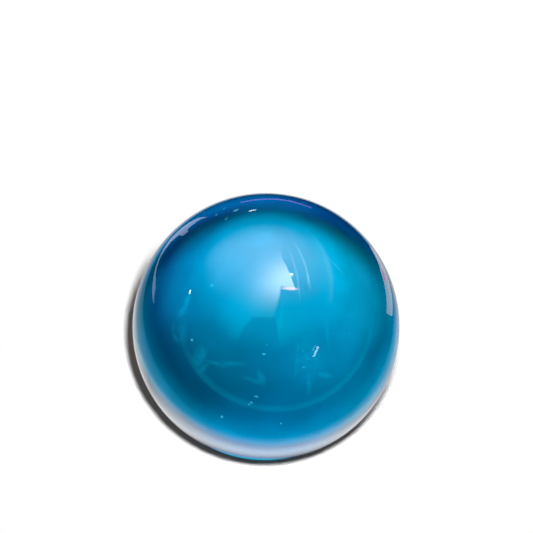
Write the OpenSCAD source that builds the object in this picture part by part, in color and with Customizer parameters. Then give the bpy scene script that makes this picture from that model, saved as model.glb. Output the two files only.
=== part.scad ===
// Solid glass marble: one ball of turquoise glass, pressed from a hot gob and rolled round.
// It is a true ball with no flat, seam, core or hole, so its diameter sets everything else.
// The origin is the centre of the ball, +Z is up, and all lengths are in millimetres.

/* [Ball] */
// Diameter of the ball
ball_d = 25; // [12:0.5:60]

/* [Hidden] */
// Half the diameter: how far the skin is from the centre, all the way round
ball_r = ball_d / 2;
// Turquoise glass that lets some light through
turquoise_glass = [0.00, 0.51, 0.69, 0.85];
// Segments round the waist of the ball
round_fn = 96;

// Right half of the disc that the ball shows when it is cut through its centre
module half_section() {
    intersection() {
        circle(r = ball_r, $fn = round_fn);
        translate([0, -ball_r])
            square([ball_r, ball_d]);
    }
}

// The marble: the half section turned once round the upright axis
module marble() {
    color(turquoise_glass)
        rotate_extrude($fn = round_fn)
            half_section();
}

marble();
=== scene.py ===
"""Glass marble: one solid ball of turquoise glass, its fire-polished finish, and the small studio round it.

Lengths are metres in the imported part's own frame: the origin is the centre of the ball and +Z is up.
Azimuths are degrees clockwise from +Y, seen from above, and elevations are degrees above the horizon.
"""

import logging
import math
from dataclasses import dataclass
from enum import Enum

import bpy
import numpy as np
from mathutils import Matrix, Vector


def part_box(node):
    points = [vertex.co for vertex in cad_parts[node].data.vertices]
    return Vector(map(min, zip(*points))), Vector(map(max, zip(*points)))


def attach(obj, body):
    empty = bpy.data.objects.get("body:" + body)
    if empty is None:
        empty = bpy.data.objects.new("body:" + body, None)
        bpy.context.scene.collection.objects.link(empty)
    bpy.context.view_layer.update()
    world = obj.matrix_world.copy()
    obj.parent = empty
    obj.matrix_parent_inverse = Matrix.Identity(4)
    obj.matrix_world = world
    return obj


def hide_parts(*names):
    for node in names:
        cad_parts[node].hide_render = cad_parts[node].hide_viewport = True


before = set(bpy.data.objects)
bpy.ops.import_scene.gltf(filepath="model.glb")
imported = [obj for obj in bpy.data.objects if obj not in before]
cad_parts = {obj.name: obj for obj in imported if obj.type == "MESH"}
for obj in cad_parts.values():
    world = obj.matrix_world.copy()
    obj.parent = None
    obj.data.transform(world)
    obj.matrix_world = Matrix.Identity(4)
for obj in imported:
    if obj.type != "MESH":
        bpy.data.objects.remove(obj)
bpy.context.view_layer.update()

LOG = logging.getLogger("marble")
BODY = "root"
NODE = "marble"
MM = 0.001
EASED = {"interpolation_type": "SMOOTHSTEP"}     # a Map Range node that eases along 3t^2 - 2t^3
FLAT = (1.0, 1.0, 0.0)                           # a vector times this keeps its two level parts only
Tree = bpy.types.NodeTree
Socket = bpy.types.NodeSocket


class Ray(Enum):
    """Kinds of ray that the stage answers to, by the name of their Light Path output."""

    CAMERA = "Is Camera Ray"
    GLOSSY = "Is Glossy Ray"
    THROUGH_GLASS = "Is Transmission Ray"


# ---- Small helpers ----
def linear(hex_colour: str, strength: float = 1.0) -> tuple[float, float, float, float]:
    """Turn an sRGB hex colour into linear light.

    Args:
        hex_colour: the colour as "#RRGGBB".
        strength: what the linear values are multiplied by.

    Returns:
        Linear red, green and blue, and an alpha of 1.
    """
    values = [int(hex_colour[i:i + 2], 16) / 255.0 for i in (1, 3, 5)]
    low_or_high = [v / 12.92 if v <= 0.04045 else ((v + 0.055) / 1.055) ** 2.4 for v in values]
    red, green, blue = (v * strength for v in low_or_high)
    return red, green, blue, 1.0


def towards(azimuth: float, elevation: float) -> Vector:
    """Unit vector that points to an azimuth and an elevation.

    Args:
        azimuth: degrees clockwise from +Y, seen from above.
        elevation: degrees above the horizon.

    Returns:
        The direction as a vector of length 1.
    """
    az, el = math.radians(azimuth), math.radians(elevation)
    return Vector((math.sin(az) * math.cos(el), math.cos(az) * math.cos(el), math.sin(el)))


def turned_axes(azimuth: float, elevation: float, turn: float) -> tuple[Vector, Vector, Vector]:
    """Three unit vectors square to each other at a bearing.

    Args:
        azimuth: degrees clockwise from +Y, seen from above.
        elevation: degrees above the horizon.
        turn: degrees that the second and the third are turned by, from level and from upright.

    Returns:
        The direction outwards, and the two across it.
    """
    away = towards(azimuth, elevation)
    side = away.cross(Vector((0, 0, 1))).normalized()
    rise = side.cross(away)
    angle = math.radians(turn)
    across = side * math.cos(angle) + rise * math.sin(angle)
    upright = rise * math.cos(angle) - side * math.sin(angle)
    return away, across, upright


def add_node(tree: Tree, kind: str, inputs: dict | list | None = None, **settings: str) -> bpy.types.Node:
    """Add one shader node with its constant inputs, its links and its settings.

    Args:
        tree: the node tree that it goes into.
        kind: the node's type name, without the ShaderNode that each begins with.
        inputs: what goes into its sockets, in their order as a list, or by name or number as a dict. Each
            is a constant or the output socket that feeds it.
        settings: properties of the node and their values.

    Returns:
        The new node.
    """
    node = tree.nodes.new("ShaderNode" + kind)
    for name, value in settings.items():
        setattr(node, name, value)
    fed = inputs if isinstance(inputs, dict) else dict(enumerate(inputs or []))
    for socket, value in fed.items():
        if isinstance(value, Socket):
            tree.links.new(value, node.inputs[socket])
        else:
            node.inputs[socket].default_value = value
    return node


def folded(tree: Tree, kind: str, operation: str, values: list) -> Socket:
    """Fold several values into one, such as their sum, product or maximum.

    Args:
        tree: the node tree.
        kind: "Math" for numbers, or "VectorMath" for colours.
        operation: what is done to the result so far and the next value.
        values: two or more values, each a constant or the output socket that gives it.

    Returns:
        The socket with the result.
    """
    total = values[0]
    for value in values[1:]:
        total = add_node(tree, kind, [total, value], operation=operation).outputs[0]
    return total


def empty_tree(owner: bpy.types.Material | bpy.types.World) -> Tree:
    """Give a material or a world its node tree, empty.

    Args:
        owner: the material or the world.

    Returns:
        The empty node tree.
    """
    owner.use_nodes = True
    owner.node_tree.nodes.clear()
    return owner.node_tree


# ---- Surfaces ----
@dataclass(frozen=True)
class Surface:
    """Points and faces of one surface, as whole arrays. Its faces have the same number of corners."""

    points: np.ndarray
    faces: np.ndarray

    def joined(self, other: "Surface") -> "Surface":
        """Put this surface and another one into a single surface."""
        faces = np.vstack([self.faces, other.faces + len(self.points)])
        return Surface(np.vstack([self.points, other.points]), faces)

    def object(self, name: str) -> bpy.types.Object:
        """Make a smooth-shaded object of the surface, at the origin.

        Args:
            name: name of the object and of its mesh.

        Returns:
            The new object, linked to the scene.
        """
        mesh = bpy.data.meshes.new(name)
        mesh.from_pydata(self.points.tolist(), [], self.faces.tolist())
        mesh.polygons.foreach_set("use_smooth", np.ones(len(self.faces), bool))
        mesh.update()
        obj = bpy.data.objects.new(name, mesh)
        bpy.context.scene.collection.objects.link(obj)
        return obj


def unit_ball(cells: int) -> Surface:
    """Closed ball of radius 1 with no poles: a cube's grid blown up to a sphere.

    Each face of the cube is a grid of two parameters from -1 to 1. Each parameter goes through the tangent
    of its eighth turn, which makes the cells nearly equal, and each point is then divided by its length.
    Points on the cube's edges are shared, so there is no seam.

    Args:
        cells: quads along each edge of the cube.

    Returns:
        The ball, with its faces pointing outwards.
    """
    steps = np.arange(cells + 1)
    i, j = (a.ravel() for a in np.meshgrid(steps, steps, indexing="ij"))
    corner = (np.arange(cells)[:, None] * (cells + 1) + np.arange(cells)[None, :]).ravel()
    quad = np.stack([corner, corner + cells + 1, corner + cells + 2, corner + 1], axis=1)
    lattice, quads = [], []
    for axis in range(3):
        for side in (0, cells):
            face = np.empty((len(i), 3), int)
            face[:, axis] = side
            face[:, (axis + 1) % 3] = i
            face[:, (axis + 2) % 3] = j
            lattice.append(face)
            quads.append((quad if side else quad[:, ::-1]) + len(i) * len(quads))
    shared, index = np.unique(np.vstack(lattice), axis=0, return_inverse=True)
    cube = np.tan((shared / cells * 2.0 - 1.0) * math.pi / 4.0)
    points = cube / np.linalg.norm(cube, axis=1, keepdims=True)
    return Surface(points, index.reshape(-1)[np.vstack(quads)])


def flat_sheet(centre: Vector, across: Vector, along: Vector) -> Surface:
    """Flat rectangle from its middle and its two half sides.

    Args:
        centre: middle of the sheet.
        across: from the middle to the middle of one side.
        along: from the middle to the middle of the next side.

    Returns:
        The sheet as one quad that faces across x along.
    """
    signs = np.array([[-1, -1], [1, -1], [1, 1], [-1, 1]], float)
    halves = np.array([across[:], along[:]])
    return Surface(np.array(centre[:]) + signs @ halves, np.array([[0, 1, 2, 3]]))


# ---- Finish ----
@dataclass(frozen=True)
class Mark:
    """A fleck of dust or a smear on the skin, at a bearing from the ball's centre.

    Sizes are half sizes. The rim fades over a share of them, soft, to each side.
    """

    azimuth: float
    elevation: float
    long_mm: float
    wide_mm: float
    strength: float
    turn: float = 0.0
    soft: float = 0.4

    def mask(self, tree: Tree, place: Socket, radius: float) -> Socket:
        """Give the mark's strength inside its oval and 0 outside.

        Args:
            tree: the node tree.
            place: the Object coordinates.
            radius: the ball's radius.

        Returns:
            The socket with the mask.
        """
        away, along, upright = turned_axes(self.azimuth, self.elevation, self.turn)
        axes = Matrix((along, -upright, away)).transposed()
        own = add_node(tree, "Mapping", {
            "Vector": place,
            "Location": away * radius,
            "Rotation": axes.to_euler(),
            "Scale": (self.long_mm * MM, self.wide_mm * MM, self.long_mm * MM),
        }, vector_type="TEXTURE").outputs[0]
        from_middle = add_node(tree, "VectorMath", [own], operation="LENGTH").outputs["Value"]
        edges = (1.0 - self.soft, 1.0 + self.soft, self.strength, 0.0)
        return add_node(tree, "MapRange", [from_middle, *edges], **EASED).outputs[0]


@dataclass(frozen=True)
class FirePolishedGlass:
    """Soda-lime glass coloured turquoise in the melt, pressed, rolled round and fire-polished.

    The flame leaves a skin as clear as water, so the eye sees a sharp gloss over a deep even blue. Handling
    has left a few pinhead pits, specks of dust and faint films, and the rollers a hardly visible ripple.

    Each pair of values named edges or fade is where an eased step begins and ends. Patterns read Object
    coordinates, their sizes are in millimetres, and smooth and ragged are their layers of detail.
    """

    name: str = "fire_polished_turquoise_soda_glass"
    surface_tint: str = "#00D6F2"
    ior: float = 1.52
    clarity: float = 0.99
    depth_tint: str = "#30DFF1"
    depth_density: float = 100.0
    polish: float = 0.012
    dulled: float = 0.036
    dull_patch_mm: float = 9.0
    dull_edges: tuple[float, float] = (0.45, 0.80)
    dust: str = "#9FD4E6"
    under_dust: float = 0.35
    scuffed: float = 0.09
    pit_cell_mm: float = 1.6
    pit_fade_mm: tuple[float, float] = (0.042, 0.084)
    dust_patch_mm: float = 6.0
    dust_edges: tuple[float, float] = (0.50, 0.62)
    speck_bump: float = 0.4
    speck_rise_mm: float = 0.03
    film_tint: str = "#00C8EC"
    film_full: float = 0.08
    film_grain_mm: float = 0.5
    film_edges: tuple[float, float] = (0.35, 0.60)
    film_shares: tuple[float, float] = (0.45, 1.20)
    ripple_mm: float = 5.0
    ripple_bump: float = 0.02
    ripple_rise_mm: float = 0.2
    smooth: float = 1.0
    ragged: float = 3.0
    flecks: tuple[Mark, ...] = (
        Mark(-142, 34, 0.13, 0.10, 0.28),
        Mark(-179, 36, 0.14, 0.09, 0.20),
        Mark(163, 29, 0.13, 0.10, 0.12),
        Mark(-176, 18, 0.18, 0.10, 0.22, 15.0),
        Mark(-174, 15, 0.12, 0.12, 0.22),
        Mark(-173, 14, 0.13, 0.10, 0.15, 40.0),
        Mark(-162, 5, 0.18, 0.12, 0.30, 90.0),
        Mark(174, 4, 0.09, 0.09, 0.28),
        Mark(-42.4, 63.4, 0.26, 0.10, 0.30, -30.0),
        Mark(-40.1, 70.5, 0.28, 0.14, 0.60, 10.0),
        Mark(-54.3, 63.9, 0.22, 0.11, 0.35, -30.0),
        Mark(-60.1, 71.0, 0.20, 0.12, 0.22),
        Mark(-137.0, 56.8, 0.16, 0.15, 0.16),
    )
    films: tuple[Mark, ...] = (
        Mark(-128.5, 46.0, 0.52, 0.26, 0.110, 66.0, 0.9),
        Mark(-129.5, 41.5, 0.60, 0.26, 0.095, -85.0, 0.9),
        Mark(-129.5, 33.0, 0.44, 0.20, 0.040, 57.0, 0.9),
        Mark(-133.0, 30.5, 0.52, 0.20, 0.040, 26.0, 0.9),
        Mark(-135.2, 34.5, 0.80, 0.42, 0.040, 60.0, 0.9),
        Mark(-148.3, 29.0, 0.80, 0.55, 0.060, 100.0, 0.5),
        Mark(-151.4, 25.3, 0.58, 0.24, 0.045, -60.0, 0.8),
        Mark(-164.4, 30.8, 0.88, 0.17, 0.042, -9.0, 0.8),
        Mark(-156.5, 29.1, 0.92, 0.17, 0.038, -3.0, 0.8),
        Mark(-175.0, 25.0, 0.80, 0.20, 0.038, 17.0, 0.8),
        Mark(-178.0, 26.0, 0.63, 0.28, 0.042, 74.0, 0.8),
        Mark(154.0, 23.0, 0.62, 0.22, 0.055, 30.0, 0.7),
        Mark(147.0, 39.5, 1.17, 0.18, 0.030, -75.0, 0.8),
        Mark(161.0, 32.0, 1.23, 0.17, 0.042, 89.0, 0.8),
        Mark(165.0, 34.0, 1.49, 0.17, 0.040, -76.0, 0.8),
        Mark(161.5, 22.0, 0.95, 0.18, 0.040, -81.0, 0.8),
        Mark(160.0, 33.5, 1.60, 0.95, 0.030, 85.0, 0.9),
    )

    def build(self, radius: float) -> bpy.types.Material:
        """Make the material.

        Args:
            radius: the ball's radius, at which the marks lie.

        Returns:
            The finished material.
        """
        material = bpy.data.materials.new(self.name)
        tree = empty_tree(material)
        place = add_node(tree, "TexCoord").outputs["Object"]
        pits = self._specks(tree, place, radius)
        film = self._films(tree, place, radius)
        glass = add_node(tree, "BsdfPrincipled", {
            "Base Color": self._tint(tree, pits, film),
            "Roughness": self._polish(tree, place, pits),
            "IOR": self.ior,
            "Transmission Weight": self._clear_share(tree, pits, film),
            "Normal": self._relief(tree, place, pits),
        })
        depth = add_node(tree, "VolumeAbsorption",
                         {"Color": linear(self.depth_tint), "Density": self.depth_density})
        add_node(tree, "OutputMaterial", {"Surface": glass.outputs[0], "Volume": depth.outputs[0]})
        return material

    def _specks(self, tree: Tree, place: Socket, radius: float) -> Socket:
        """Give the strength of the few pinhead pits and dust specks, and 0 on the clear skin.

        A cell pattern puts one point in each cell. A point shows only where a slow cloud is thick, so the
        specks gather in patches as dust does. The larger flecks have places of their own.

        Args:
            tree: the node tree.
            place: the Object coordinates.
            radius: the ball's radius.

        Returns:
            The socket with the speck mask.
        """
        cells = add_node(tree, "TexVoronoi",
                         {"Vector": place, "Scale": 1.0 / (self.pit_cell_mm * MM)}, feature="F1")
        full, gone = (mm / self.pit_cell_mm for mm in self.pit_fade_mm)
        dots = add_node(tree, "MapRange",
                        [cells.outputs["Distance"], full, gone, 1.0, 0.0], **EASED).outputs[0]
        cloud = add_node(tree, "TexNoise", {
            "Vector": place, "Scale": 1.0 / (self.dust_patch_mm * MM), "Detail": self.smooth}).outputs["Fac"]
        thick = add_node(tree, "MapRange", [cloud, *self.dust_edges], **EASED).outputs[0]
        scattered = add_node(tree, "Math", [dots, thick], operation="MULTIPLY").outputs[0]
        flecks = [mark.mask(tree, place, radius) for mark in self.flecks]
        return folded(tree, "Math", "MAXIMUM", [scattered, *flecks])

    def _films(self, tree: Tree, place: Socket, radius: float) -> Socket:
        """Give the share of light that the thin films of grease scatter, broken up by a fine grain.

        Args:
            tree: the node tree.
            place: the Object coordinates.
            radius: the ball's radius.

        Returns:
            The socket with the film mask.
        """
        grain = add_node(tree, "TexNoise", {
            "Vector": place, "Scale": 1.0 / (self.film_grain_mm * MM), "Detail": self.ragged}).outputs["Fac"]
        streaky = add_node(tree, "MapRange", [grain, *self.film_edges, *self.film_shares], **EASED).outputs[0]
        film = folded(tree, "Math", "MAXIMUM", [mark.mask(tree, place, radius) for mark in self.films])
        return add_node(tree, "Math", [film, streaky], operation="MULTIPLY").outputs[0]

    def _clear_share(self, tree: Tree, pits: Socket, film: Socket) -> Socket:
        """Give the share of light that the skin lets through: less where a speck or a film lies."""
        share = add_node(tree, "MapRange", [pits, 0.0, 1.0, self.clarity, self.under_dust])
        return add_node(tree, "Math", [share.outputs[0], film], operation="SUBTRACT").outputs[0]

    def _tint(self, tree: Tree, pits: Socket, film: Socket) -> Socket:
        """Give the tint of the skin: bluer where a film lies and paler where a speck lies.

        A colour Mix node takes its factor at socket 0 and its colours at 6 and 7, and gives them at output 2.

        Args:
            tree: the node tree.
            pits: the speck mask.
            film: the film mask.

        Returns:
            The socket with the tint.
        """
        filmed = add_node(tree, "MapRange", [film, 0.0, self.film_full], **EASED).outputs[0]
        colours = {6: linear(self.surface_tint), 7: linear(self.film_tint)}
        bluer = add_node(tree, "Mix", {0: filmed, **colours}, data_type="RGBA").outputs[2]
        return add_node(tree, "Mix", {0: pits, 6: bluer, 7: linear(self.dust)}, data_type="RGBA").outputs[2]

    def _polish(self, tree: Tree, place: Socket, pits: Socket) -> Socket:
        """Give the roughness: a flame polish that a slow cloud dulls a little, and scuffed specks.

        Args:
            tree: the node tree.
            place: the Object coordinates.
            pits: the speck mask.

        Returns:
            The socket with the roughness.
        """
        cloud = add_node(tree, "TexNoise", {
            "Vector": place, "Scale": 1.0 / (self.dull_patch_mm * MM), "Detail": self.ragged}).outputs["Fac"]
        edges = (*self.dull_edges, self.polish, self.dulled)
        skin = add_node(tree, "MapRange", [cloud, *edges], **EASED).outputs[0]
        return add_node(tree, "Mix", {0: pits, 2: skin, 3: self.scuffed}, data_type="FLOAT").outputs[0]

    def _relief(self, tree: Tree, place: Socket, pits: Socket) -> Socket:
        """Give the bump: a roller ripple that hardly shows, and the specks standing proud.

        Args:
            tree: the node tree.
            place: the Object coordinates.
            pits: the speck mask.

        Returns:
            The socket with the normal.
        """
        swell = add_node(tree, "TexNoise", {
            "Vector": place, "Scale": 1.0 / (self.ripple_mm * MM), "Detail": self.smooth}).outputs["Fac"]
        waves = add_node(tree, "Bump", {
            "Strength": self.ripple_bump,
            "Distance": self.ripple_rise_mm * MM,
            "Height": swell,
        })
        return add_node(tree, "Bump", {
            "Strength": self.speck_bump,
            "Distance": self.speck_rise_mm * MM,
            "Height": pits,
            "Normal": waves.outputs[0],
        }).outputs[0]


# ---- The ball ----
@dataclass
class Marble:
    """The ball: a clear skin with a scatter of gas seeds inside it, all one closed piece of glass."""

    low: Vector
    high: Vector
    cells: int = 96
    seeds: int = 34
    seed_mm: tuple[float, float] = (0.025, 0.045)
    seed_stretch: tuple[float, float] = (0.85, 1.35)
    seed_cells: int = 5
    seed_shell: tuple[float, float] = (0.55, 0.93)
    draw: int = 11
    finish: FirePolishedGlass = FirePolishedGlass()

    @property
    def centre(self) -> np.ndarray:
        """Middle of the ball."""
        return (np.array(self.low[:]) + np.array(self.high[:])) / 2.0

    @property
    def radius(self) -> float:
        """Half of the box's shortest side, so that the ball stays inside the box."""
        return min(high - low for low, high in zip(self.low, self.high)) / 2.0

    def skin(self) -> Surface:
        """Outer face: the unit ball times the radius, about the centre."""
        ball = unit_ball(self.cells)
        return Surface(self.centre + ball.points * self.radius, ball.faces)

    def gas_seeds(self) -> Surface:
        """Closed cavities that trapped gas left in the melt, each a small ball drawn out a little.

        Each seed lies on a random bearing at a share of the radius within seed_shell. Its points are its own
        place plus the unit ball's points times its three half sizes. Its faces are turned round, so that they
        point out of the glass and into the gas.

        Returns:
            All the seeds as one surface.
        """
        rng = np.random.default_rng(self.draw)
        bearing = rng.normal(size=(self.seeds, 3))
        bearing /= np.linalg.norm(bearing, axis=1, keepdims=True)
        depth = rng.uniform(*self.seed_shell, size=(self.seeds, 1)) * self.radius
        half = rng.uniform(*self.seed_mm, size=(self.seeds, 1)) * MM / 2.0
        stretch = rng.uniform(*self.seed_stretch, size=(self.seeds, 3))
        ball = unit_ball(self.seed_cells)
        places = (self.centre + bearing * depth)[:, None, :]
        points = places + ball.points[None] * (half * stretch)[:, None, :]
        faces = ball.faces[None, :, ::-1] + (np.arange(self.seeds) * len(ball.points))[:, None, None]
        return Surface(points.reshape(-1, 3), faces.reshape(-1, 4))

    def build(self) -> bpy.types.Object:
        """Build the ball in place of the plain solid and dress it.

        Returns:
            The finished ball.
        """
        ball = self.skin().joined(self.gas_seeds()).object("glass_marble")
        ball.data.materials.append(self.finish.build(self.radius))
        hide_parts(NODE)
        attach(ball, BODY)
        LOG.info("%s: %d quads, radius %.2f mm", ball.name, len(ball.data.polygons), self.radius / MM)
        return ball


# ---- The studio ----
@dataclass(frozen=True)
class SoftPool:
    """A round pool of light on the far surroundings: full inside the inner angle and gone past the fade.

    What it adds is linear red, green and blue light. A pool of shade has values below zero.
    """

    azimuth: float
    elevation: float
    inner: float
    fade: float
    adds: tuple[float, float, float]

    def light(self, tree: Tree, direction: Socket) -> Socket:
        """Give the pool's light towards a direction.

        Args:
            tree: the world's node tree.
            direction: the socket with the direction.

        Returns:
            The socket with the pool's light there.
        """
        axis = towards(self.azimuth, self.elevation)
        nearness = add_node(tree, "VectorMath", [direction, axis], operation="DOT_PRODUCT")
        edge = math.cos(math.radians(self.inner + self.fade))
        full = math.cos(math.radians(self.inner))
        share = add_node(tree, "MapRange", [nearness.outputs["Value"], edge, full], **EASED)
        return add_node(tree, "VectorMath",
                        {0: self.adds, "Scale": share.outputs[0]}, operation="SCALE").outputs[0]


@dataclass(frozen=True)
class Surroundings:
    """The room: white to the camera, dim to the gloss and the floor, pools of light through the glass.

    A mottle makes the light through the glass a little uneven, with mottle_scale lumps to a unit of
    direction.
    """

    white: str = "#FFFFFF"
    ambient: str = "#564F4A"
    gloss: float = 0.012
    base: tuple[float, float, float] = (0.0, 0.0, 0.085)
    pools: tuple[SoftPool, ...] = (
        SoftPool(-5.0, -67.0, 13.0, 15.0, (0.39, 0.39, 0.32)),
        SoftPool(-7.0, -59.0, 0.5, 46.0, (0.59, 0.59, 0.55)),
        SoftPool(91.0, -73.0, 18.0, 32.0, (0.31, 0.31, 0.41)),
        SoftPool(183.0, 24.0, 95.0, 22.0, (0.57, 0.57, 0.90)),
        SoftPool(168.0, 73.0, 96.0, 44.0, (0.87, 0.87, 0.79)),
        SoftPool(-50.0, -31.0, 15.0, 28.0, (0.26, 0.26, 0.27)),
        SoftPool(-2.0, 2.0, 0.5, 34.0, (0.25, 0.25, 0.35)),
        SoftPool(111.0, 83.0, 86.5, 8.0, (-0.70, -0.70, -0.63)),
        SoftPool(180.0, 1.0, 85.5, 24.0, (-0.38, -0.38, -0.50)),
        SoftPool(-65.0, -50.0, 0.5, 29.5, (0.29, 0.29, 0.21)),
        SoftPool(-163.0, -64.0, 106.0, 6.5, (-0.027, -0.027, -0.036)),
        SoftPool(-109.0, -28.0, 15.0, 15.0, (-0.08, -0.08, -0.20)),
        SoftPool(43.0, -37.0, 0.5, 14.0, (0.04, 0.04, 0.053)),
        SoftPool(160.0, 42.0, 75.0, 43.0, (-0.17, -0.17, -0.40)),
        SoftPool(-4.0, -33.0, 0.5, 13.0, (0.024, 0.024, 0.05)),
        SoftPool(96.0, -6.0, 10.0, 20.0, (-0.22, -0.22, -0.25)),
        SoftPool(-100.0, -10.0, 10.0, 20.0, (-0.32, -0.32, -0.42)),
        SoftPool(10.0, -42.0, 0.5, 28.0, (-0.044, -0.044, -0.043)),
        SoftPool(-93.0, -62.0, 0.5, 13.0, (0.045, 0.045, 0.075)),
        SoftPool(87.0, -60.5, 0.5, 11.0, (0.065, 0.065, 0.040)),
    )
    mottle_scale: float = 5.0
    mottle_detail: float = 4.0
    mottle_edges: tuple[float, float] = (0.3, 0.7)
    mottle_shares: tuple[float, float] = (0.92, 1.08)
    first_matt_depth: float = 0.5
    band_outer: SoftPool = SoftPool(-9.0, -55.0, 34.0, 1.2, (0.15, 0.15, 0.10))
    band_inner: SoftPool = SoftPool(-9.0, -55.0, 31.1, 2.2, (0.15, 0.15, 0.10))
    band_window: SoftPool = SoftPool(-7.0, -22.0, 26.0, 16.0, (1.0, 1.0, 1.0))

    def build(self) -> None:
        """Make the world's shader from one background for each kind of ray.

        Light that a matt surface has scattered takes the ambient, as its diffuse depth is 1 or more.
        """
        world = bpy.data.worlds.new("studio_room")
        bpy.context.scene.world = world
        tree = empty_tree(world)
        total = self._through_glass(tree)
        rays = add_node(tree, "LightPath").outputs
        depth = [rays["Diffuse Depth"], self.first_matt_depth]
        unscattered = add_node(tree, "Math", depth, operation="LESS_THAN").outputs[0]
        seen_through = folded(tree, "Math", "MULTIPLY", [rays[Ray.THROUGH_GLASS.value], unscattered])
        shader = add_node(tree, "Background", {"Color": linear(self.ambient)}).outputs[0]
        by_ray = (
            (rays[Ray.GLOSSY.value], {"Color": linear(self.white), "Strength": self.gloss}),
            (seen_through, {"Color": total}),
            (rays[Ray.CAMERA.value], {"Color": linear(self.white)}),
        )
        for share, light in by_ray:
            seen = add_node(tree, "Background", light).outputs[0]
            shader = add_node(tree, "MixShader", [share, shader, seen]).outputs[0]
        add_node(tree, "OutputWorld", {"Surface": shader})
        LOG.info("%s: %d pools of light", world.name, len(self.pools))

    def _through_glass(self, tree: Tree) -> Socket:
        """Light of the room through the glass: the base plus the pools and the band, a little uneven.

        The band is a narrow ring, the outer pool less the inner one, kept only inside its window.

        Args:
            tree: the world's node tree.

        Returns:
            The socket with the light.
        """
        direction = add_node(tree, "TexCoord").outputs["Generated"]
        outer, inner, window = (part.light(tree, direction) for part in (
            self.band_outer, self.band_inner, self.band_window))
        ring = add_node(tree, "VectorMath", [outer, inner], operation="SUBTRACT").outputs[0]
        band = add_node(tree, "VectorMath", [ring, window], operation="MULTIPLY").outputs[0]
        pools = [pool.light(tree, direction) for pool in self.pools]
        total = folded(tree, "VectorMath", "ADD", [self.base, *pools, band])
        total = add_node(tree, "VectorMath", [total, (0.0, 0.0, 0.0)], operation="MAXIMUM").outputs[0]
        cloud = add_node(tree, "TexNoise",
                         {"Vector": direction, "Scale": self.mottle_scale, "Detail": self.mottle_detail})
        shares = [cloud.outputs["Fac"], *self.mottle_edges, *self.mottle_shares]
        uneven = add_node(tree, "MapRange", shares, **EASED).outputs[0]
        return add_node(tree, "VectorMath", {0: total, "Scale": uneven}, operation="SCALE").outputs[0]


@dataclass(frozen=True)
class Patch:
    """Round patch of light on the floor: full inside its core, a share of its reach, and gone at its reach.

    Lengths are radii of the ball.
    """

    light: float
    centre: tuple[float, float]
    reach: float
    core: float


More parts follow.
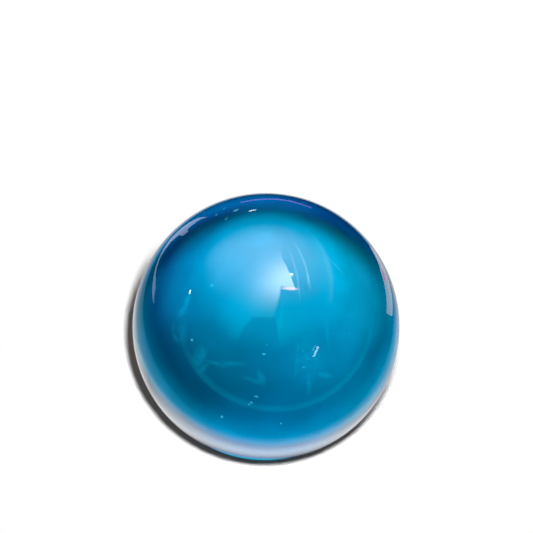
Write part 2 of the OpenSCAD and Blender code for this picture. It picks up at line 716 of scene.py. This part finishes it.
@dataclass(frozen=True)
class LacqueredBoard:
    """Board lacquered matt white, which runs out into a white sweep. Lengths are radii of the ball.

    Near the ball its matt face gives the eye a clean white that takes the ball's thin shade. The gloss of
    the ball sees painted light on it instead: an emitted oval with a few brighter patches, a painted shadow
    close under the ball and a small painted caustic.
    """

    radius: float
    name: str = "matt_white_lacquered_board"
    white: str = "#FAFAFA"
    sweep: str = "#FFFFFF"
    board_centre: tuple[float, float] = (-0.5, 0.4)
    board_edges: tuple[float, float] = (1.3, 1.75)
    # Painted light in the gloss: an emitted oval, brightest in front, with patches of emitted light on it.
    oval_centre: tuple[float, float] = (-0.12, 1.46)
    oval_half: tuple[float, float] = (2.23, 2.67)
    oval_depths: tuple[float, float] = (-0.9, 0.6)
    oval_fade: tuple[float, float] = (0.11, 0.16)
    oval_light: float = 0.65
    front_centre: tuple[float, float] = (-0.3, -2.7)
    front_reach: tuple[float, float] = (0.27, 3.47)
    front_light: float = 4.35
    patches: tuple[Patch, ...] = (
        Patch(0.65, (-0.6, 1.43), 3.1, 0.25),
        Patch(1.10, (-1.42, 0.40), 0.95, 0.3),
        Patch(0.95, (-1.50, 0.95), 1.00, 0.3),
    )
    # Painted shadow of the ball in the gloss: the floor's emitted light goes dark close under the ball.
    painted_shadow_centre: tuple[float, float] = (-0.05, -0.06)
    painted_shadow_edges: tuple[float, float] = (0.53, 0.97)
    # Painted light in the gloss: a dim blue skirt of emission round the oval.
    skirt_centre: tuple[float, float] = (-0.42, 1.4)
    skirt_edges: tuple[float, float] = (2.82, 2.98)
    skirt_tint: str = "#00A2BF"
    # Painted caustic: a small teal patch of emitted light in front of the ball, in place of the light that
    # the glass throws.
    painted_caustic_centre: tuple[float, float] = (-0.22, -0.66)
    painted_caustic_half: tuple[float, float] = (0.55, 0.24)
    painted_caustic_edges: tuple[float, float] = (0.4, 1.1)
    painted_caustic_tint: str = "#00D3FF"

    def build(self) -> bpy.types.Material:
        """Make the material.

        Returns:
            The finished material.
        """
        material = bpy.data.materials.new(self.name)
        tree = empty_tree(material)
        place = self._place(tree)
        matt = add_node(tree, "BsdfDiffuse", {"Color": linear(self.white)}).outputs[0]
        sweep = add_node(tree, "Emission", {"Color": linear(self.sweep)}).outputs[0]
        # Painted light: what the gloss sees of the floor is emission that no lamp gives.
        glow = add_node(tree, "Emission", {"Color": self._gloss(tree, place)}).outputs[0]
        away = self._distance(tree, place, self.board_centre)
        outside = add_node(tree, "MapRange", [away, *self.board_edges], **EASED).outputs[0]
        seen = add_node(tree, "MixShader", [outside, matt, sweep]).outputs[0]
        rays = add_node(tree, "LightPath").outputs
        both = add_node(tree, "MixShader", [rays[Ray.GLOSSY.value], seen, glow]).outputs[0]
        add_node(tree, "OutputMaterial", {"Surface": both})
        return material

    def _place(self, tree: Tree) -> Socket:
        """Give the place on the floor in radii of the ball, with the ball's foot at zero.

        Args:
            tree: the node tree.

        Returns:
            The socket with the place.
        """
        place = add_node(tree, "TexCoord").outputs["Object"]
        flat = add_node(tree, "VectorMath", [place, FLAT], operation="MULTIPLY")
        return add_node(tree, "VectorMath",
                        {0: flat.outputs[0], "Scale": 1.0 / self.radius}, operation="SCALE").outputs[0]

    @staticmethod
    def _distance(tree: Tree, place: Socket, middle: tuple[float, float],
                  half: tuple[float, float] = (1.0, 1.0)) -> Socket:
        """Distance of a place from a middle, measured in half sizes, so that an oval's edge lies at 1.

        Args:
            tree: the node tree.
            place: the place in radii of the ball.
            middle: the oval's middle.
            half: the oval's half sizes.

        Returns:
            The socket with the distance.
        """
        away = add_node(tree, "VectorMath", [place, (*middle, 0.0)], operation="SUBTRACT")
        share = add_node(tree, "VectorMath",
                         [away.outputs[0], (1.0 / half[0], 1.0 / half[1], 0.0)], operation="MULTIPLY")
        return add_node(tree, "VectorMath", [share.outputs[0]], operation="LENGTH").outputs["Value"]

    def _gloss(self, tree: Tree, place: Socket) -> Socket:
        """Painted light of the floor in the gloss.

        A white oval of painted light lies round and behind the ball, brightest in front, where its edge is
        sharpest, and a few painted patches of light lie on it. A dim blue skirt of painted light lies round
        the oval. A painted shadow darkens both close under the ball, where only a small blue painted caustic
        in front stays bright, in place of the light that the ball itself throws.

        Args:
            tree: the node tree.
            place: the place in radii of the ball.

        Returns:
            The socket with the colour of the light.
        """
        white = self._white_light(tree, place)
        # Painted light: a dim blue skirt of emission round the oval.
        away = self._distance(tree, place, self.skirt_centre)
        skirt = add_node(tree, "MapRange", [away, *self.skirt_edges, 1.0, 0.0], **EASED).outputs[0]
        # Painted caustic: a small teal patch of emission in front of the ball.
        away = self._distance(tree, place, self.painted_caustic_centre, self.painted_caustic_half)
        painted_caustic = add_node(tree, "MapRange", [away, *self.painted_caustic_edges, 1.0, 0.0], **EASED).outputs[0]
        # Painted shadow: the emitted light fades out close under the ball.
        away = self._distance(tree, place, self.painted_shadow_centre)
        under = add_node(tree, "MapRange", [away, *self.painted_shadow_edges], **EASED).outputs[0]
        blue = add_node(tree, "VectorMath",
                        {0: linear(self.skirt_tint)[:3], "Scale": skirt}, operation="SCALE").outputs[0]
        both = add_node(tree, "VectorMath", [blue, white], operation="MAXIMUM").outputs[0]
        both = add_node(tree, "VectorMath", {0: both, "Scale": under}, operation="SCALE").outputs[0]
        teal = add_node(tree, "VectorMath",
                        {0: linear(self.painted_caustic_tint)[:3], "Scale": painted_caustic}, operation="SCALE").outputs[0]
        return add_node(tree, "VectorMath", [both, teal], operation="MAXIMUM").outputs[0]

    def _white_light(self, tree: Tree, place: Socket) -> Socket:
        """Strength of the white oval and its patches.

        Args:
            tree: the node tree.
            place: the place in radii of the ball.

        Returns:
            The socket with the strength.
        """
        depth = add_node(tree, "SeparateXYZ", [place]).outputs["Y"]
        fade = add_node(tree, "MapRange", [depth, *self.oval_depths, *self.oval_fade], **EASED).outputs[0]
        inner = add_node(tree, "Math", [1.0, fade], operation="SUBTRACT").outputs[0]
        outer = add_node(tree, "Math", [1.0, fade], operation="ADD").outputs[0]
        away = self._distance(tree, place, self.oval_centre, self.oval_half)
        oval = add_node(tree, "MapRange", [away, inner, outer, 1.0, 0.0], **EASED).outputs[0]
        away = self._distance(tree, place, self.front_centre)
        front = add_node(tree, "MapRange",
                         [away, *self.front_reach, self.front_light, self.oval_light], **EASED).outputs[0]
        white = add_node(tree, "Math", [oval, front], operation="MULTIPLY").outputs[0]
        for patch in self.patches:
            away = self._distance(tree, place, patch.centre, (patch.reach, patch.reach))
            lit = add_node(tree, "MapRange", [away, patch.core, 1.0, patch.light, 0.0], **EASED).outputs[0]
            white = add_node(tree, "Math", [white, lit], operation="MAXIMUM").outputs[0]
        return white


@dataclass(frozen=True)
class Floor:
    """White floor that the ball touches with its lowest point. Its reach to each side is in metres."""

    level: float
    radius: float
    reach: float = 3.0

    def build(self) -> bpy.types.Object:
        """Make the floor as one flat square, which the light that comes through the glass doesn't see.

        Returns:
            The floor.
        """
        sheet = flat_sheet(Vector((0, 0, self.level)), Vector((self.reach, 0, 0)), Vector((0, self.reach, 0)))
        floor = sheet.object("studio_floor")
        floor.data.materials.append(LacqueredBoard(self.radius).build())
        floor.visible_transmission = False
        LOG.info("%s: level %.2f mm", floor.name, self.level / MM)
        return floor


@dataclass(frozen=True)
class Key:
    """Small upright oval lamp a little above the camera's line. It lights the board and casts the shade."""

    radius: float
    power: float = 0.222
    azimuth: float = 178.0
    elevation: float = 50.8
    distance_radii: float = 8.0
    size_radii: tuple[float, float] = (0.36, 0.74)

    def build(self) -> bpy.types.Object:
        """Make the lamp, facing the ball's centre.

        Returns:
            The lamp.
        """
        lamp = bpy.data.lights.new("key_lamp", "AREA")
        lamp.shape = "ELLIPSE"
        lamp.size = self.size_radii[0] * self.radius
        lamp.size_y = self.size_radii[1] * self.radius
        lamp.energy = self.power
        obj = bpy.data.objects.new("key_lamp", lamp)
        away = towards(self.azimuth, self.elevation)
        obj.location = away * self.distance_radii * self.radius
        obj.rotation_euler = away.to_track_quat("Z", "Y").to_euler()
        obj.visible_glossy = False
        obj.visible_transmission = False
        bpy.context.scene.collection.objects.link(obj)
        LOG.info("%s: %.2f W", obj.name, self.power)
        return obj


def only_in_gloss(obj: bpy.types.Object) -> bpy.types.Object:
    """Hide a stage piece from every ray but the glossy ones.

    Args:
        obj: the piece.

    Returns:
        The same piece.
    """
    obj.visible_camera = False
    obj.visible_diffuse = False
    obj.visible_transmission = False
    obj.visible_shadow = False
    return obj


@dataclass(frozen=True)
class LitPaper:
    """Diffusing paper with a lamp behind it. Its even light gives the gloss a flat shape with clean edges."""

    name: str
    colour: str
    light: float

    def build(self) -> bpy.types.Material:
        """Make the material.

        Returns:
            The finished material.
        """
        material = bpy.data.materials.new(self.name + "_paper")
        tree = empty_tree(material)
        glow = add_node(tree, "Emission", {"Color": linear(self.colour), "Strength": self.light})
        add_node(tree, "OutputMaterial", {"Surface": glow.outputs[0]})
        return material


@dataclass(frozen=True)
class Card:
    """A lit card that only the gloss sees. It faces the ball from a bearing and a distance in metres."""

    name: str
    azimuth: float
    elevation: float
    width: float
    height: float
    turn: float
    light: float
    colour: str = "#FFFFFF"
    distance: float = 0.5

    def build(self) -> bpy.types.Object:
        """Make the card from its bearing, its angular width and height, and its turn, all in degrees.

        Returns:
            The card.
        """
        away, across, upright = turned_axes(self.azimuth, self.elevation, self.turn)
        wide, high = (self.distance * math.tan(math.radians(a) / 2.0) for a in (self.width, self.height))
        sheet = flat_sheet(away * self.distance, upright * high, across * wide)
        card = sheet.object(self.name)
        card.data.materials.append(LitPaper(self.name, self.colour, self.light).build())
        return only_in_gloss(card)


@dataclass(frozen=True)
class Edge:
    """Straight edge through two places of the ceiling. The light is kept on the left going from a to b."""

    a: tuple[float, float]
    b: tuple[float, float]
    soft: float = 0.012

    def inside(self, tree: Tree, share: Socket) -> Socket:
        """Give how far a place lies inside the edge.

        Args:
            tree: the node tree.
            share: the place as a share of the ceiling's height.

        Returns:
            The socket with 1 inside, 0 outside and a soft step between.
        """
        run = (self.b[0] - self.a[0], self.b[1] - self.a[1])
        length = math.hypot(*run)
        normal = (-run[1] / length, run[0] / length, 0.0)
        offset = normal[0] * self.a[0] + normal[1] * self.a[1]
        past = add_node(tree, "VectorMath", [share, normal], operation="DOT_PRODUCT")
        return add_node(tree, "MapRange",
                        [past.outputs["Value"], offset - self.soft, offset + self.soft], **EASED).outputs[0]


@dataclass(frozen=True)
class Glow:
    """A stretched round glow on the ceiling, cut by straight edges and with a shape left out of it.

    Places and sizes are shares of the ceiling's height. The light is full inside the core, which is a share
    of the reach, and it has gone at the reach.
    """

    light: float
    centre: tuple[float, float]
    reach: tuple[float, float]
    core: float = 0.2
    turn: float = 0.0
    power: float = 1.0
    colour: str = "#FFFFFF"
    edges: tuple[Edge, ...] = ()
    left_out: tuple[Edge, ...] = ()

    def build(self, tree: Tree, share: Socket) -> Socket:
        """Give the glow's light at a place.

        Args:
            tree: the node tree.
            share: the place as a share of the ceiling's height.

        Returns:
            The socket with the colour of the light.
        """
        own = add_node(tree, "Mapping", {
            "Vector": share,
            "Location": (*self.centre, 0.0),
            "Rotation": (0.0, 0.0, math.radians(self.turn)),
            "Scale": (*self.reach, 1.0),
        }, vector_type="TEXTURE").outputs[0]
        flat = add_node(tree, "VectorMath", [own, FLAT], operation="MULTIPLY")
        away = add_node(tree, "VectorMath", [flat.outputs[0]], operation="LENGTH")
        level = add_node(tree, "MapRange",
                         [away.outputs["Value"], self.core, 1.0, 1.0, 0.0], **EASED).outputs[0]
        level = add_node(tree, "Math", [level, self.power], operation="POWER").outputs[0]
        level = folded(tree, "Math", "MULTIPLY", [level, *(edge.inside(tree, share) for edge in self.edges)])
        if self.left_out:
            shape = folded(tree, "Math", "MULTIPLY", [edge.inside(tree, share) for edge in self.left_out])
            kept = add_node(tree, "Math", [1.0, shape], operation="SUBTRACT").outputs[0]
            level = add_node(tree, "Math", [level, kept], operation="MULTIPLY").outputs[0]
        bright = linear(self.colour, self.light)[:3]
        return add_node(tree, "VectorMath", {0: bright, "Scale": level}, operation="SCALE").outputs[0]


@dataclass(frozen=True)
class BacklitCloth:
    """White diffuser cloth, stretched and lit from behind in patches.

    The weave is too fine to show in the gloss, so the eye sees soft patches of light, with hard edges where
    something stands in front of a lamp.
    """

    height: float
    name: str = "stretched_diffuser_cloth"
    glows: tuple[Glow, ...] = (
        Glow(2.8, (0.06, 0.40), (1.26, 0.99), 0.0),
        Glow(0.42, (1.03, 0.60), (0.33, 1.05), 0.1, 19.5),
        Glow(0.42, (-0.72, 0.66), (0.47, 0.46), 0.2),
        Glow(10.4, (0.31, -0.05), (1.33, 0.94), 0.0, 36.6, power=4.0,
             edges=(Edge((0.205, -0.60), (0.205, 0.50)), Edge((0.13, -0.70), (0.225, -0.20), 0.03))),
        Glow(10.4, (0.31, -0.05), (1.33, 0.94), 0.0, 36.6, power=4.0,
             edges=(Edge((0.205, 0.50), (0.205, -0.60)), Edge((0.315, 0.065), (0.205, 0.30)),
                    Edge((0.425, -0.17), (0.315, 0.065)), Edge((0.20, -0.17), (0.50, -0.17)))),
        Glow(19.0, (0.345, -0.192), (0.17, 0.036), 0.3, 5.0, colour="#FFC09B"),
        Glow(25.0, (0.350, 0.035), (0.035, 0.025), 0.3),
        Glow(2.0, (0.430, 0.05), (0.58, 0.022), 0.3, -74.0),
        Glow(2.1, (0.565, 0.255), (0.62, 0.028), 0.3, -70.0, edges=(Edge((0.4, -0.17), (0.9, -0.17)),)),
        Glow(2.0, (0.635, 0.02), (0.14, 0.035), 0.2, -75.0),
        Glow(0.6, (1.16, 0.45), (1.10, 0.15), 0.1, -71.5, edges=(Edge((1.0, -0.27), (1.8, -0.27), 0.04),)),
        Glow(0.5, (1.45, 0.75), (0.50, 0.05), 0.3, -3.0),
        Glow(0.8, (0.27, -0.75), (0.50, 0.06), 0.3, -88.0, colour="#00F3FF"),
        Glow(1.7, (-0.10, -0.95), (1.2, 1.05), 0.25, colour="#00F3FF",
             left_out=(Edge((0.16, -0.715), (-0.24, -0.715)), Edge((-0.23, -0.715), (-0.58, -1.085)),
                       Edge((-0.44, -0.91), (-0.90, -1.72)), Edge((0.37, -1.66), (0.16, -0.70)))),
    )

    def build(self) -> bpy.types.Material:
        """Make the material as the sum of the glows.

        Returns:
            The finished material.
        """
        material = bpy.data.materials.new(self.name)
        tree = empty_tree(material)
        place = add_node(tree, "TexCoord").outputs["Object"]
        share = add_node(tree, "VectorMath",
                         {0: place, "Scale": 1.0 / self.height}, operation="SCALE").outputs[0]
        total = folded(tree, "VectorMath", "ADD", [glow.build(tree, share) for glow in self.glows])
        light = add_node(tree, "Emission", {"Color": total})
        add_node(tree, "OutputMaterial", {"Surface": light.outputs[0]})
        return material


@dataclass(frozen=True)
class Ceiling:
    """Wide lit cloth over the ball. Its height is in metres, and its reach to each side in heights."""

    height: float = 0.4
    reach: float = 3.0

    def build(self) -> bpy.types.Object:
        """Make the cloth, facing down.

        Returns:
            The cloth.
        """
        half = self.reach * self.height
        sheet = flat_sheet(Vector((0, 0, self.height)), Vector((0, half, 0)), Vector((half, 0, 0)))
        panel = sheet.object("ceiling_diffuser")
        panel.data.materials.append(BacklitCloth(self.height).build())
        LOG.info("%s: %.2f m up", panel.name, self.height)
        return only_in_gloss(panel)


@dataclass(frozen=True)
class PaperShape:
    """A cut-out of lit paper close round the ball that only the gloss sees.

    Its corners are bearings and elevations from the ball's centre, in degrees. Its distance is in radii of
    the ball.
    """

    name: str
    light: float
    colour: str
    corners: tuple[tuple[float, float], ...]
    distance: float = 2.5

    def build(self, radius: float) -> bpy.types.Object:
        """Make the cut-out.

        Args:
            radius: the ball's radius.

        Returns:
            The cut-out.
        """
        points = np.array([towards(*corner)[:] for corner in self.corners]) * self.distance * radius
        shape = Surface(points, np.arange(len(points))[None]).object(self.name)
        shape.data.materials.append(LitPaper(self.name, self.colour, self.light).build())
        return only_in_gloss(shape)


@dataclass(frozen=True)
class Camera:
    """Camera that looks down on the ball, with the ball a little low in its square frame.

    The ball's radius and place in the frame are shares of the frame's width.
    """

    target: np.ndarray
    radius: float
    elevation: float = 47.0
    distance_radii: float = 10.0
    ball_share: float = 0.2501
    left_share: float = 0.0013
    down_share: float = 0.1116
    sensor_mm: float = 36.0

    def build(self) -> bpy.types.Object:
        """Place the camera and choose its lens, so that the ball has its place and size in the frame.

        The ball's edge stands asin(1 / distance) off its centre, which gives the focal length as a share of
        the frame's width. The camera then looks past the ball's centre by the angles of its place in the
        frame.

        Returns:
            The scene's camera.
        """
        focal = self.ball_share * math.sqrt(self.distance_radii ** 2 - 1.0)
        camera = bpy.data.cameras.new("camera")
        camera.sensor_width = self.sensor_mm
        camera.lens = focal * self.sensor_mm
        camera.clip_start = self.radius
        obj = bpy.data.objects.new("camera", camera)
        place = Vector(self.target) + towards(180.0, self.elevation) * self.radius * self.distance_radii
        look_up = math.degrees(math.atan2(self.down_share, focal))
        look_left = math.degrees(math.atan2(self.left_share, focal))
        line = towards(look_left, -self.elevation + look_up)
        obj.location = place
        obj.rotation_euler = line.to_track_quat("-Z", "Y").to_euler()
        bpy.context.scene.collection.objects.link(obj)
        bpy.context.scene.camera = obj
        LOG.info("%s: lens %.1f mm", obj.name, camera.lens)
        return obj


@dataclass
class Studio:
    """Floor, room, lamps and cards: all that is not the marble."""

    marble: Marble

    def cards(self) -> list[Card]:
        """List the small lamps whose glints the ball carries."""
        return [
            Card("left_lamp", -84.1, 28.7, 1.9, 3.1, 100.0, 14.0),
            Card("front_lamp", 137.4, 15.8, 1.9, 8.6, 47.0, 9.0, "#D0F0FF"),
            Card("front_lamp_ghost", 137.9, 19.4, 1.2, 5.0, 52.0, 4.0, "#80E0FF"),
        ]

    def papers(self) -> list[PaperShape]:
        """List the lit papers that lie and stand close round the ball."""
        return [
            PaperShape("back_tube", 7.0, "#FFFFFF", (
                (-10.6, 35.6), (-5.7, 35.2), (-5.8, 36.4), (-10.8, 37.2))),
            PaperShape("left_paper", 1.12, "#EEF2FF", (
                (-80, 5), (-71, 3.4), (-64, 2.9), (-57, 1.7), (-50, 0.4), (-44, -0.9), (-38, -1.6),
                (-33, 0.5), (-30, 4), (-28, 9), (-28, 19), (-30, 14), (-37, 13), (-39.5, 17.0), (-42.0, 15.0),
                (-39.5, 8), (-42, 3.8), (-49, 1.6), (-57, 3.4), (-64, 5.8), (-71, 7.6))),
            PaperShape("right_paper", 1.2, "#FFF9FA", (
                (37, -9), (37, -13.2), (43, -15.3), (62, -15.8), (69, -15.8), (73, -10.6), (76, -6),
                (62, -4.4), (54.6, -4), (43, -7))),
            PaperShape("magenta_sticker", 2.0, "#FF58B8", (
                (52, -6.3), (51.4, -8.8), (55.5, -8), (58.3, -5.5)), 2.45),
            PaperShape("violet_tape", 1.25, "#C070FF", (
                (-11, 16.2), (0, 13.9), (6, 12.9), (19, 13.2), (20, 15.4), (6, 16.1), (0, 17.0),
                (-11, 18.4))),
        ]

    def build(self) -> None:
        """Build every stage piece."""
        ball = self.marble
        Camera(ball.centre, ball.radius).build()
        Surroundings().build()
        Floor(ball.low.z, ball.radius).build()
        Key(ball.radius).build()
        Ceiling().build()
        for card in self.cards():
            card.build()
            LOG.info("%s: strength %.1f", card.name, card.light)
        for paper in self.papers():
            paper.build(ball.radius)
            LOG.info("%s: strength %.1f", paper.name, paper.light)


def set_view() -> None:
    """Show the scene with the plain Standard view transform."""
    bpy.context.scene.view_settings.view_transform = "Standard"


def main() -> None:
    """Build the marble and its studio, and report each piece."""
    logging.basicConfig(level=logging.INFO, format="%(name)s: %(message)s")
    set_view()
    marble = Marble(*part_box(NODE))
    marble.build()
    Studio(marble).build()


if __name__ == "__main__":
    main()
